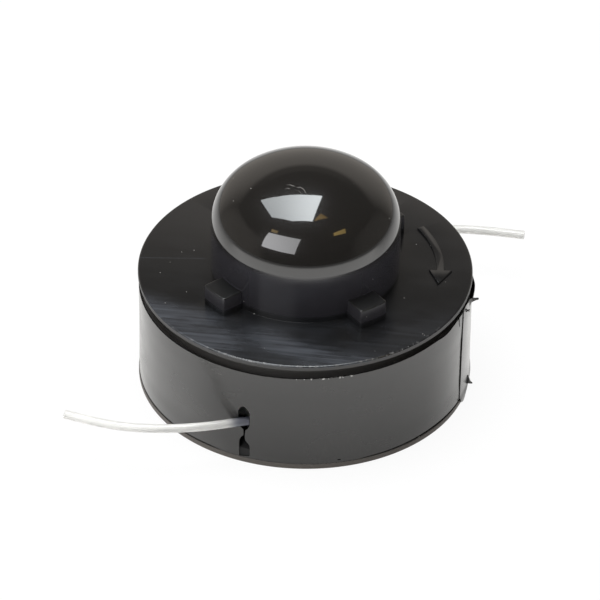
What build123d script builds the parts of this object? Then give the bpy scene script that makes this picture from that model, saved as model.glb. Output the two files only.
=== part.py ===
from build123d import *
from math import cos, hypot, radians, sin, sqrt, tan
import os

# A spare line spool for a twin-line grass trimmer. Millimetres, base on Z = 0, spool axis on Z.
# Bearings are degrees to the right of the front, which faces -Y, seen from the front.

# Reel: two flanges on a drum
flange_radius = 28.5
lower_flange_inset = 0.05
reel_height = 21.55
flange_wall = 1.8
upper_lip = 0.9
lower_lip = 1.1
lip_rounding = 0.3
seat_recess = 0.4
skirt_width = 2.8
neck_recess = 1.7
seat_land = 1.5
lower_skirt_rise = 2.8

# Hub and domed tap button, one hollow wall with the drum
hub_radius = 16.1
hub_wall = 1.9
hub_root_rounding = 0.2
button_top = 42.2
crown_radius = 20.8
shoulder_radius = 8.9

# Index lugs round the foot of the hub, two opposite pairs
lug_bearing = -50.4
lug_spacing = 86.1
lug_reach = 20.0
lug_width = 5.35
lug_height = 3.6
lug_corner = 0.5
lug_rounding = 0.3

# Spring spigot under the crown
spigot_radius = 4.5
spigot_bore = 3.0
spigot_foot = 31.5

# Line and its winding, both lines laid side by side
line_diameter = 1.5
layer_count = 4
turn_sides = 8
winding_gap = 0.05
anchor_hole = 2.2
anchor_bearing = 115.0

# Film band round both rims
film = 0.2
band_fit = 0.05
band_sill = 0.1
band_headroom = 1.75
film_overhang = 1.3
lap_bearing = 70.5
lap_angle = 34.0

# Keyhole slot torn in the band for each line
slot_bearing = -20.6
slot_width = 2.05
slot_sill = 0.4
slot_wall = 2.3
slot_roof = 1.5
slit_width = 0.3
slit_length = 1.0
hole_wall = 3.6
hole_roof = 1.5
line_clearance = 0.2

# Routes of the two free line ends, from the winding to the cut end
front_route = [
    (7.8, -21.6, 8.2),
    (-0.5, -24.3, 8.2),
    (-9.0, -25.75, 8.2),
    (-17.4, -27.95, 8.2),
    (-25.8, -28.55, 8.2),
    (-33.4, -27.45, 8.2),
    (-40.0, -24.7, 8.2),
]
rear_route = [
    (-7.8, 21.6, 8.2),
    (0.5, 24.3, 8.2),
    (9.0, 25.85, 8.2),
    (17.4, 29.3, 8.2),
    (25.2, 30.9, 8.2),
    (32.2, 30.4, 8.2),
    (38.4, 29.2, 8.2),
]

# Sizes that follow from the driving ones
seat_radius = flange_radius - seat_recess
lower_flange_radius = flange_radius - lower_flange_inset
skirt_inside = seat_radius - skirt_width
neck_radius = flange_radius - neck_recess
reel_ceiling = reel_height - flange_wall
bore_radius = hub_radius - hub_wall
drum_radius = hub_radius
line_radius = line_diameter / 2
band_inside = seat_radius + band_fit
band_outside = band_inside + film
band_bottom = lower_lip + band_sill
band_top = reel_height - upper_lip - band_headroom
upper_seat_top = band_top - film_overhang
upper_skirt_foot = upper_seat_top - seat_land
slot_foot = band_bottom + slot_sill
slot_eave = slot_foot + slot_wall
slot_ridge = slot_eave + slot_roof
hole_foot = slot_ridge + slit_length
hole_eave = hole_foot + hole_wall
hole_ridge = hole_eave + hole_roof
crown_centre = button_top - crown_radius


def crown_edge(radius, crown):
    """Height at which a straight wall of the given radius would meet the crown."""
    return crown_centre + sqrt(crown**2 - radius**2)


def from_axis(point):
    """Distance of a point from the spool axis."""
    return hypot(point.X, point.Y)


def slot_plane(bearing):
    """Plane that faces out of the band at a bearing, with its X to the right and its Y up."""
    turn = radians(bearing)
    return Plane(
        origin=(band_inside * sin(turn), -band_inside * cos(turn), 0),
        x_dir=(cos(turn), sin(turn), 0),
        z_dir=(sin(turn), -cos(turn), 0),
    )


def corner_radii(route):
    """Largest smooth bend at each corner of a route."""
    points = [Vector(*point) for point in route]
    radii = []
    for before, corner, after in zip(points, points[1:], points[2:]):
        run_in = corner - before
        run_out = after - corner
        half_turn = radians(run_in.get_angle(run_out)) / 2
        radii.append(0.45 * min(run_in.length, run_out.length) / tan(half_turn))
    return radii


def route_start(route):
    """Plane square to the first run of a route, at its first point."""
    first = Vector(*route[0])
    return Plane(origin=first, z_dir=Vector(*route[1]) - first)


# Spool moulding
with BuildPart() as spool:
    with BuildSketch(Plane.XZ) as outside:
        hub_edge = (hub_radius, crown_edge(hub_radius, crown_radius))
        with BuildLine():
            Polyline(
                (0, button_top),
                (0, 0),
                (lower_flange_radius, 0),
                (lower_flange_radius, lower_lip),
                (seat_radius, lower_lip),
                (seat_radius, lower_skirt_rise),
                (skirt_inside, lower_skirt_rise),
                (skirt_inside, flange_wall),
                (drum_radius, flange_wall),
                (drum_radius, reel_ceiling),
                (skirt_inside, reel_ceiling),
                (skirt_inside, upper_skirt_foot),
                (seat_radius, upper_skirt_foot),
                (seat_radius, upper_seat_top),
                (neck_radius, upper_seat_top),
                (neck_radius, reel_height - upper_lip),
                (flange_radius, reel_height - upper_lip),
                (flange_radius, reel_height),
                (hub_radius, reel_height),
                hub_edge,
            )
            RadiusArc(hub_edge, (0, button_top), -crown_radius)
        make_face()
        fillet(outside.vertices().sort_by_distance(hub_edge)[0], shoulder_radius)
        fillet(outside.vertices().sort_by_distance((hub_radius, reel_height))[0], hub_root_rounding)
        fillet(outside.vertices().sort_by_distance((flange_radius, reel_height))[0], lip_rounding)
        fillet(outside.vertices().sort_by_distance((lower_flange_radius, 0))[0], lip_rounding)
    revolve(axis=Axis.Z)

    # Index lugs
    with BuildSketch(Plane.XY.offset(reel_height)) as lugs:
        for bearing in (lug_bearing, lug_bearing + lug_spacing):
            with PolarLocations((hub_radius + lug_reach) / 2, 2, start_angle=bearing - 90):
                Rectangle(2 * (lug_reach - hub_radius), lug_width)
        Circle(lug_reach, mode=Mode.INTERSECT)
        Circle(hub_radius - hub_wall / 2, mode=Mode.SUBTRACT)
        outer_corners = lugs.vertices().filter_by(lambda corner: from_axis(corner) > hub_radius)
        fillet(outer_corners, lug_corner)
    extrude(amount=lug_height)
    lug_top = reel_height + lug_height
    top_edges = spool.edges().filter_by_position(Axis.Z, lug_top, lug_top)
    outer_edges = top_edges.filter_by(lambda edge: from_axis(edge @ 0.5) > hub_radius + lug_rounding)
    fillet(outer_edges, lug_rounding)

    # Hollow inside, open at the base
    with BuildSketch(Plane.XZ) as inside:
        crown_inside = crown_radius - hub_wall
        ceiling = button_top - hub_wall
        bore_edge = (bore_radius, crown_edge(bore_radius, crown_inside))
        with BuildLine():
            Polyline((0, ceiling), (0, 0), (bore_radius, 0), bore_edge)
            RadiusArc(bore_edge, (0, ceiling), -crown_inside)
        make_face()
        fillet(inside.vertices().sort_by_distance(bore_edge)[0], shoulder_radius - hub_wall)
    revolve(axis=Axis.Z, mode=Mode.SUBTRACT)

    # Spring spigot, cored out from below
    with BuildSketch(Plane.XY.offset(spigot_foot)):
        Circle(spigot_radius)
        Circle(spigot_bore, mode=Mode.SUBTRACT)
    extrude(amount=button_top - hub_wall / 2 - spigot_foot)

    # A hole through the drum for the inner end of each line
    for bearing in (anchor_bearing, anchor_bearing + 180):
        with BuildSketch(slot_plane(bearing)):
            with Locations((0, flange_wall + line_diameter)):
                Circle(anchor_hole / 2)
        extrude(amount=-band_inside, mode=Mode.SUBTRACT)

spool.part.label = "spool"

# Winding: layers of turns on the drum, with the outer turns as eight-sided ridges
winding_inside = drum_radius + winding_gap
outer_layer = winding_inside + (layer_count - 1) * line_diameter + line_radius
turn_count = int((reel_ceiling - flange_wall - 2 * winding_gap) / line_diameter)
winding_height = turn_count * line_diameter
winding_middle = (reel_ceiling + flange_wall) / 2
with BuildPart() as line_winding:
    with BuildSketch(Plane.XZ):
        with Locations(((winding_inside + outer_layer) / 2, winding_middle)):
            Rectangle(outer_layer - winding_inside, winding_height)
        with Locations((outer_layer, winding_middle)):
            with GridLocations(0, line_diameter, 1, turn_count):
                RegularPolygon(line_radius, turn_sides, major_radius=False, rotation=180 / turn_sides)
    revolve(axis=Axis.Z)

line_winding.part.label = "line_winding"

# Free line ends
tails = {}
for name, route in {"line_tail_front": front_route, "line_tail_rear": rear_route}.items():
    radii = corner_radii(route)
    with BuildPart() as tail:
        with BuildLine() as path:
            FilletPolyline(*route, radius=radii)
        with BuildSketch(route_start(route)):
            Circle(line_radius)
        sweep()
    tail.part.label = name
    tails[name] = tail.part
    length = path.wire().length
    section = line_radius**2 * 3.14159265
    print(name, "radii", [round(radius, 1) for radius in radii])
    print(name, "length", round(length, 2), "volume ratio", round(tail.part.volume / (section * length), 4))

# Film band with its lap and its two keyhole slots
with BuildPart() as retaining_band:
    with BuildSketch(Plane.XY.offset(band_bottom)):
        Circle(band_outside)
        Circle(band_inside, mode=Mode.SUBTRACT)
    extrude(amount=band_top - band_bottom)

    # The lap: a second thickness of film from the seam on
    with BuildSketch(Plane.XY.offset(band_bottom)):
        with BuildLine():
            start = lap_bearing - 90
            outer = CenterArc((0, 0), band_outside + film, start, lap_angle)
            inner = CenterArc((0, 0), band_inside + film / 2, start, lap_angle)
            Line(outer @ 0, inner @ 0)
            Line(outer @ 1, inner @ 1)
        make_face()
    extrude(amount=band_top - band_bottom)

    # Keyhole slots: a house-shaped hole, a torn slit and the hole that the line comes out of
    for bearing in (slot_bearing, slot_bearing + 180):
        with BuildSketch(slot_plane(bearing)):
            side = slot_width / 2
            slit = slit_width / 2
            with BuildLine():
                Polyline(
                    (-side, slot_foot),
                    (side, slot_foot),
                    (side, slot_eave),
                    (slit, slot_ridge),
                    (slit, hole_foot),
                    (side, hole_foot + side / 2),
                    (side, hole_eave),
                    (-slit, hole_ridge),
                    (-side, hole_eave + side / 2),
                    (-side, hole_foot + side / 2),
                    (-slit, hole_foot),
                    (-slit, slot_ridge),
                    (-side, slot_eave + side / 2),
                    close=True,
                )
            make_face()
        extrude(amount=4 * film, both=True, mode=Mode.SUBTRACT)

    # Clearance round each line where it crosses the film at a slant
    for route in (front_route, rear_route):
        with BuildLine():
            FilletPolyline(*route, radius=corner_radii(route))
        with BuildSketch(route_start(route)):
            Circle(line_radius + line_clearance)
        sweep(mode=Mode.SUBTRACT)

retaining_band.part.label = "retaining_band"

os.makedirs("parts", exist_ok=True)
export_step(spool.part, "parts/spool.step")
export_step(line_winding.part, "parts/line_winding.step")
for name, part in tails.items():
    export_step(part, f"parts/{name}.step")
export_step(retaining_band.part, "parts/retaining_band.step")
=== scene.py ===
"""Looks of a spare line spool for a twin-line grass trimmer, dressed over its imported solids.

Sizes of the spool are in millimetres and become metres where a mesh is made. Sizes of the studio are in
metres. Bearings are degrees to the right of the front, which faces -Y.
"""

import logging
import math
from contextlib import contextmanager
from dataclasses import dataclass
from enum import Enum
from typing import Callable, Iterator, Sequence

import bmesh
import bpy
from mathutils import Matrix, Vector, noise


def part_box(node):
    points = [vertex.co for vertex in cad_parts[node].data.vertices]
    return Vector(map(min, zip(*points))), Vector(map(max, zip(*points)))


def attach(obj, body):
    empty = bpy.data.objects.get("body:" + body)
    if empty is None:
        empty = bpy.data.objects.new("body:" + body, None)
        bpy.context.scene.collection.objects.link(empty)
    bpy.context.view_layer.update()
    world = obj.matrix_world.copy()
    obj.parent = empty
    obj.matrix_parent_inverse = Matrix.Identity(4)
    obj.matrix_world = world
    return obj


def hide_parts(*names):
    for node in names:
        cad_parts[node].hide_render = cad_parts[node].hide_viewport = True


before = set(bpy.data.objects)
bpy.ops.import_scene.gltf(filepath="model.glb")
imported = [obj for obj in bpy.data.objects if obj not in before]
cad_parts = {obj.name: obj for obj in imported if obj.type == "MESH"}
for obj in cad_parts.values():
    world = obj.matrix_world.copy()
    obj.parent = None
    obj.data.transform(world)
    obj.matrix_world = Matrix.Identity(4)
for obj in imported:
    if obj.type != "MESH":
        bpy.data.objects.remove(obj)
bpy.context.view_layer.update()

MM = 0.001
TINY = 1e-6
TUBE_ROUNDING = 4
CORNER_STEPS = 3
BODY = "root"
LOG = logging.getLogger("line_spool")

Point = tuple[float, float]
Triple = tuple[float, float, float]
Outline = tuple[Point, ...]
# Where a value starts and the result there, then where it ends and the result there
Range = tuple[Point, Point]
# Turns of one stage of a winding, then the layer and height at its start and at its end
Stage = tuple[float, int, float, int, float]
Piece = bpy.types.Object
Material = bpy.types.Material
Socket = bpy.types.NodeSocket


class Operation(Enum):
    """How one mesh is worked into another."""

    ADD = "UNION"
    CUT = "DIFFERENCE"


class Ray(Enum):
    """Facts of a light path that a stage surface can tell apart."""

    CAMERA = "Is Camera Ray"
    GLOSSY = "Is Glossy Ray"
    TRANSMISSION = "Is Transmission Ray"
    MIRRORS = "Glossy Depth"


def on_bearing(radius: float, bearing: float, height: float) -> Vector:
    """Gives the place at a radius, bearing and height.

    Args:
        radius: Distance from the spool axis, in millimetres.
        bearing: Degrees to the right of the front.
        height: Height above the base, in millimetres.

    Returns:
        The place in metres.
    """
    turn = math.radians(bearing)
    return Vector((radius * math.sin(turn), -radius * math.cos(turn), height)) * MM


def arc(centre: Point, radius: float, start: float, end: float, steps: int) -> list[Point]:
    """Samples an arc of a section.

    Args:
        centre: Centre of the arc as radius and height.
        radius: Radius of the arc.
        start: First angle in degrees from straight up, turning outwards.
        end: Last angle in degrees.
        steps: Number of runs.

    Returns:
        Points from the first angle to the last.
    """
    angles = (math.radians(start + (end - start) * i / steps) for i in range(steps + 1))
    return [(centre[0] + radius * math.sin(a), centre[1] + radius * math.cos(a)) for a in angles]


def smooth_step(low: float, high: float, value: float) -> float:
    """Eases from 0 at low to 1 at high."""
    share = min(1.0, max(0.0, (value - low) / (high - low)))
    return share * share * (3 - 2 * share)


def swell(value: float, height: float, middle: float, spread: float) -> float:
    """Gives a bell-shaped rise with its full height at the middle."""
    return height * math.exp(-(((value - middle) / spread) ** 2))


def ripple(value: float, height: float, pitch: float, seed: float) -> float:
    """Gives an uneven wave of a height and a pitch."""
    return height * noise.noise(Vector((value / pitch, seed, 0)))


def activate(obj: Piece) -> None:
    """Makes an object the only selected and the active one.

    Args:
        obj: The object to work on.
    """
    bpy.ops.object.select_all(action="DESELECT")
    obj.select_set(True)
    bpy.context.view_layer.objects.active = obj


@contextmanager
def editing(obj: Piece) -> Iterator[None]:
    """Holds an object in edit mode with all of it selected.

    Args:
        obj: The mesh object to edit.
    """
    activate(obj)
    bpy.ops.object.mode_set(mode="EDIT")
    bpy.ops.mesh.select_mode(type="VERT")
    bpy.ops.mesh.select_all(action="SELECT")
    yield
    bpy.ops.object.mode_set(mode="OBJECT")


def select_edges(obj: Piece, wanted: Callable[[bmesh.types.BMEdge], bool]) -> None:
    """Selects the edges of a mesh in edit mode that pass a test.

    Args:
        obj: The mesh object, in edit mode.
        wanted: Test for an edge.
    """
    bpy.ops.mesh.select_all(action="DESELECT")
    bpy.ops.mesh.select_mode(type="EDGE")
    mesh = bmesh.from_edit_mesh(obj.data)
    for edge in mesh.edges:
        edge.select_set(wanted(edge))
    mesh.select_flush_mode()
    bmesh.update_edit_mesh(obj.data)


def place_vertices(obj: Piece, place: Callable[[Vector], Vector]) -> None:
    """Moves each vertex of a mesh to a new place.

    Args:
        obj: The mesh object.
        place: Gives the new place of a vertex from its old one.
    """
    for vertex in obj.data.vertices:
        vertex.co = place(vertex.co.copy())
    obj.data.update()


def settle(obj: Piece) -> None:
    """Puts an object's place, turn and size into its mesh."""
    activate(obj)
    bpy.ops.object.transform_apply(location=True, rotation=True, scale=True)


def close_up(obj: Piece) -> None:
    """Merges doubled vertices and turns all faces outwards.

    Args:
        obj: The mesh object.
    """
    with editing(obj):
        bpy.ops.mesh.remove_doubles(threshold=TINY)
        bpy.ops.mesh.normals_make_consistent(inside=False)


def apply_modifier(obj: Piece, kind: str, **settings: object) -> None:
    """Adds a modifier to an object and applies it.

    Args:
        obj: The mesh object.
        kind: Blender's name of the modifier type.
        settings: Values for the modifier.
    """
    activate(obj)
    modifier = obj.modifiers.new(kind.lower(), kind)
    for key, value in settings.items():
        setattr(modifier, key, value)
    bpy.ops.object.modifier_apply(modifier=modifier.name)


def work_in(obj: Piece, tool: Piece, operation: Operation) -> None:
    """Adds a tool's shape to a mesh or cuts it out, and removes the tool.

    Args:
        obj: The mesh object that stays.
        tool: The mesh object that is used up.
        operation: Whether the tool is added or cut out.
    """
    apply_modifier(obj, "BOOLEAN", object=tool, operation=operation.value, solver="EXACT")
    bpy.data.objects.remove(tool)


def primitive(name: str, add: Callable[..., object], **settings: object) -> Piece:
    """Adds one of Blender's primitive meshes.

    Args:
        name: Name of the new object.
        add: Operator that adds the primitive.
        settings: Values for the operator.

    Returns:
        The new mesh object.
    """
    bpy.ops.object.select_all(action="DESELECT")
    add(**settings)
    obj = bpy.context.active_object
    obj.name = name
    return obj


def polygon(name: str, corners: Sequence[Vector]) -> Piece:
    """Makes one flat face on its corners.

    Args:
        name: Name of the new object.
        corners: Corners of the face, in metres.

    Returns:
        The mesh object.
    """
    add = bpy.ops.mesh.primitive_circle_add
    obj = primitive(name, add, vertices=len(corners), radius=MM, fill_type="NGON")
    for vertex, corner in zip(obj.data.vertices, corners):
        vertex.co = corner
    obj.data.update()
    return obj


def spun(name: str, section: Sequence[Point], steps: int) -> Piece:
    """Turns a half section round the spool axis.

    Args:
        name: Name of the new object.
        section: Radius and height of each point, in millimetres.
        steps: Steps of the full turn.

    Returns:
        The closed mesh object.
    """
    obj = primitive(name, bpy.ops.mesh.primitive_plane_add, size=MM)
    with editing(obj):
        bpy.ops.mesh.merge(type="CENTER")
        bpy.ops.transform.translate(value=(section[0][0] * MM, 0, section[0][1] * MM))
        for before, after in zip(section, section[1:]):
            run = ((after[0] - before[0]) * MM, 0, (after[1] - before[1]) * MM)
            bpy.ops.mesh.extrude_vertices_move(TRANSFORM_OT_translate={"value": run})
        bpy.ops.mesh.select_all(action="SELECT")
        bpy.ops.mesh.spin(steps=steps, angle=math.tau, center=(0, 0, 0), axis=(0, 0, 1))
    close_up(obj)
    return obj


def prism(name: str, outline: Sequence[Vector], depth: Vector, rounding: float = 0.0) -> Piece:
    """Makes a straight prism on a flat outline.

    Args:
        name: Name of the new object.
        outline: Corners of the outline, in metres.
        depth: Way and length of the prism, in metres.
        rounding: Rounding of the outline's corners, in millimetres.

    Returns:
        The closed mesh object.
    """
    obj = polygon(name, outline)
    with editing(obj):
        if rounding:
            sizes = {"offset": rounding * MM, "segments": CORNER_STEPS}
            bpy.ops.mesh.bevel(affect="VERTICES", clamp_overlap=True, **sizes)
            bpy.ops.mesh.select_all(action="SELECT")
        bpy.ops.mesh.extrude_region_move(TRANSFORM_OT_translate={"value": depth})
    close_up(obj)
    return obj


def in_scene(name: str, data: bpy.types.ID) -> Piece:
    """Makes an object of some data and puts it in the scene.

    Args:
        name: Name of the new object.
        data: A curve, a lamp or a camera.

    Returns:
        The new object.
    """
    obj = bpy.data.objects.new(name, data)
    bpy.context.scene.collection.objects.link(obj)
    return obj


def nurbs(name: str, points: Sequence[Vector], radii: Sequence[float], resolution: int) -> Piece:
    """Makes a round tube on one smooth open spline.

    Args:
        name: Name of the new object.
        points: Control points, in metres.
        radii: Tube radius at each point, in millimetres.
        resolution: Runs between two control points.

    Returns:
        The curve object.
    """
    curve = bpy.data.curves.new(name, "CURVE")
    curve.dimensions = "3D"
    curve.bevel_depth = max(radii) * MM
    curve.bevel_resolution = TUBE_ROUNDING
    curve.resolution_u = resolution
    curve.use_fill_caps = True
    spline = curve.splines.new("NURBS")
    spline.points.add(len(points) - 1)
    for knot, point, radius in zip(spline.points, points, radii):
        knot.co = (*point, 1)
        knot.radius = radius / max(radii)
    spline.order_u = 3
    spline.use_endpoint_u = True
    return in_scene(name, curve)


def as_mesh(obj: Piece) -> Piece:
    """Turns a curve object into a closed mesh object.

    Args:
        obj: The curve object.

    Returns:
        The same object, now a mesh.
    """
    activate(obj)
    bpy.ops.object.convert(target="MESH")
    close_up(obj)
    return obj


def join(obj: Piece, others: Sequence[Piece]) -> None:
    """Joins other mesh objects to one.

    Args:
        obj: The mesh object that stays.
        others: The mesh objects that go into it.
    """
    activate(obj)
    for other in others:
        other.select_set(True)
    bpy.ops.object.join()


def aimed(place: Vector, side: Vector, up: Vector, back: Vector) -> Matrix:
    """Gives the matrix of a thing at a place that looks against its back direction."""
    return Matrix.Translation(place) @ Matrix((side, up, back)).transposed().to_4x4()


class NodeSheet:
    """A node tree with short calls to add and link its nodes."""

    def __init__(self, tree: bpy.types.NodeTree) -> None:
        """Keeps the node tree of a material or world."""
        self.tree = tree

    def add(self, kind: str, **settings: object) -> bpy.types.Node:
        """Adds a node.

        Args:
            kind: Blender's type name of the node.
            settings: Values of the node's own properties.

        Returns:
            The new node.
        """
        node = self.tree.nodes.new(kind)
        for key, value in settings.items():
            setattr(node, key, value)
        return node

    def link(self, source: Socket, target: Socket) -> None:
        """Links one socket to another."""
        self.tree.links.new(source, target)

    def place(self) -> Socket:
        """Gives the object coordinates, in metres."""
        return self.add("ShaderNodeTexCoord").outputs["Object"]

    def ray(self, fact: Ray) -> Socket:
        """Gives one fact of the light path."""
        return self.add("ShaderNodeLightPath").outputs[fact.value]

    def axes(self, place: Socket) -> tuple[Socket, Socket, Socket]:
        """Takes a place apart.

        Args:
            place: Socket of the place.

        Returns:
            Sockets of its three coordinates.
        """
        node = self.add("ShaderNodeSeparateXYZ")
        self.link(place, node.inputs[0])
        return tuple(node.outputs)

    def vector(self, operation: str, place: Socket, other: Sequence[float] = (0, 0, 0)) -> bpy.types.Node:
        """Adds a Vector Math node.

        Args:
            operation: Name of the operation.
            place: Socket of the first vector.
            other: The second vector, where the operation has one.

        Returns:
            The node.
        """
        node = self.add("ShaderNodeVectorMath", operation=operation)
        self.link(place, node.inputs[0])
        node.inputs[1].default_value = other
        return node

    def radius(self, place: Socket) -> Socket:
        """Gives the distance of a place from the vertical axis."""
        flat = self.vector("MULTIPLY", place, (1, 1, 0)).outputs["Vector"]
        return self.vector("LENGTH", flat).outputs["Value"]

    def math(self, operation: str, *values: object) -> Socket:
        """Adds a Math node on numbers or sockets.

        Args:
            operation: Name of the operation.
            values: Numbers or output sockets, in order.

        Returns:
            The result's socket.
        """
        node = self.add("ShaderNodeMath", operation=operation)
        for socket, value in zip(node.inputs, values):
            if isinstance(value, Socket):
                self.link(value, socket)
            else:
                socket.default_value = value
        return node.outputs[0]

    def product(self, first: Socket, *others: object) -> Socket:
        """Multiplies numbers or sockets together.

        Args:
            first: Socket of the first factor.
            others: The other factors.

        Returns:
            The product's socket.
        """
        for other in others:
            first = self.math("MULTIPLY", first, other)
        return first

    def ramp(self, value: Socket, low: Point, high: Point) -> Socket:
        """Maps a value smoothly from one range to another.

        Args:
            value: The incoming socket.
            low: Where the range starts, and the result there.
            high: Where the range ends, and the result there.

        Returns:
            The result's socket.
        """
        node = self.add("ShaderNodeMapRange", interpolation_type="SMOOTHSTEP")
        self.link(value, node.inputs["Value"])
        for name, number in zip(("From Min", "To Min", "From Max", "To Max"), (*low, *high)):
            node.inputs[name].default_value = number
        return node.outputs["Result"]

    def rise(self, value: Socket, low: float, high: float) -> Socket:
        """Goes from 0 at a low distance to 1 at a high one, in millimetres."""
        return self.ramp(value, (low * MM, 0), (high * MM, 1))

    def fall(self, value: Socket, low: float, high: float) -> Socket:
        """Goes from 1 at a low distance to 0 at a high one, in millimetres."""
        return self.ramp(value, (low * MM, 1), (high * MM, 0))

    def noise(self, place: Socket, per_mm: Triple, turn: float = 0.0, detail: float = 3.0) -> Socket:
        """Adds a noise pattern on object coordinates.

        Args:
            place: Socket of the coordinates, in metres.
            per_mm: Features to the millimetre along each axis.
            turn: Turn of the pattern about the vertical, in degrees.
            detail: Fineness of the noise.

        Returns:
            The noise value's socket.
        """
        turned = self.add("ShaderNodeMapping")
        turned.inputs["Rotation"].default_value[2] = math.radians(turn)
        self.link(place, turned.inputs["Vector"])
        scaled = self.add("ShaderNodeMapping")
        scaled.inputs["Scale"].default_value = Vector(per_mm) / MM
        self.link(turned.outputs["Vector"], scaled.inputs["Vector"])
        pattern = self.add("ShaderNodeTexNoise")
        pattern.inputs["Scale"].default_value = 1.0
        pattern.inputs["Detail"].default_value = detail
        self.link(scaled.outputs["Vector"], pattern.inputs["Vector"])
        return pattern.outputs["Fac"]

    def mix(self, share: Socket, first: object, second: object) -> Socket:
        """Mixes two numbers or sockets by a share.

        Args:
            share: Socket of the share of the second.
            first: Number or socket at a share of 0.
            second: Number or socket at a share of 1.

        Returns:
            The mixed value's socket.
        """
        kept = self.math("MULTIPLY", self.math("SUBTRACT", 1.0, share), first)
        added = self.math("MULTIPLY", share, second)
        return self.math("ADD", kept, added)

    def tint(self, share: Socket, first: object, second: Triple) -> Socket:
        """Mixes two colours by a share.

        Args:
            share: Socket of the share of the second.
            first: Colour or socket at a share of 0.
            second: Colour at a share of 1.

        Returns:
            The mixed colour's socket.
        """
        node = self.add("ShaderNodeMix", data_type="RGBA")
        share_in, first_in, second_in = (s for s in node.inputs if s.enabled)
        self.link(share, share_in)
        if isinstance(first, Socket):
            self.link(first, first_in)
        else:
            first_in.default_value = (*first, 1)
        second_in.default_value = (*second, 1)
        return next(s for s in node.outputs if s.enabled)

    def specks(self, place: Socket, per_mm: float, size: float) -> Socket:
        """Makes scattered small specks.

        Args:
            place: Socket of the coordinates, in metres.
            per_mm: Cells to the millimetre.
            size: Speck radius as a share of a cell.

        Returns:
            Socket that is 1 on a speck.
        """
        cells = self.add("ShaderNodeTexVoronoi")
        cells.inputs["Scale"].default_value = per_mm / MM
        self.link(place, cells.inputs["Vector"])
        return self.ramp(cells.outputs["Distance"], (0.5 * size, 1), (size, 0))

    def relief(self, height: Socket, depth: float, strength: float) -> Socket:
        """Adds a bump from a height pattern.

        Args:
            height: Socket of the height pattern.
            depth: Depth of the relief, in millimetres.
            strength: Strength of the bump.

        Returns:
            The normal's socket.
        """
        node = self.add("ShaderNodeBump")
        node.inputs["Strength"].default_value = strength
        node.inputs["Distance"].default_value = depth * MM
        self.link(height, node.inputs["Height"])
        return node.outputs["Normal"]


def new_material(name: str) -> tuple[Material, NodeSheet, bpy.types.Node]:
    """Makes a material with a bare principled shader.

    Args:
        name: Name of the material.

    Returns:
        The material, its node sheet and its shader node.
    """
    material = bpy.data.materials.new(name)
    material.use_nodes = True
    sheet = NodeSheet(material.node_tree)
    return material, sheet, material.node_tree.nodes["Principled BSDF"]


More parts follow.
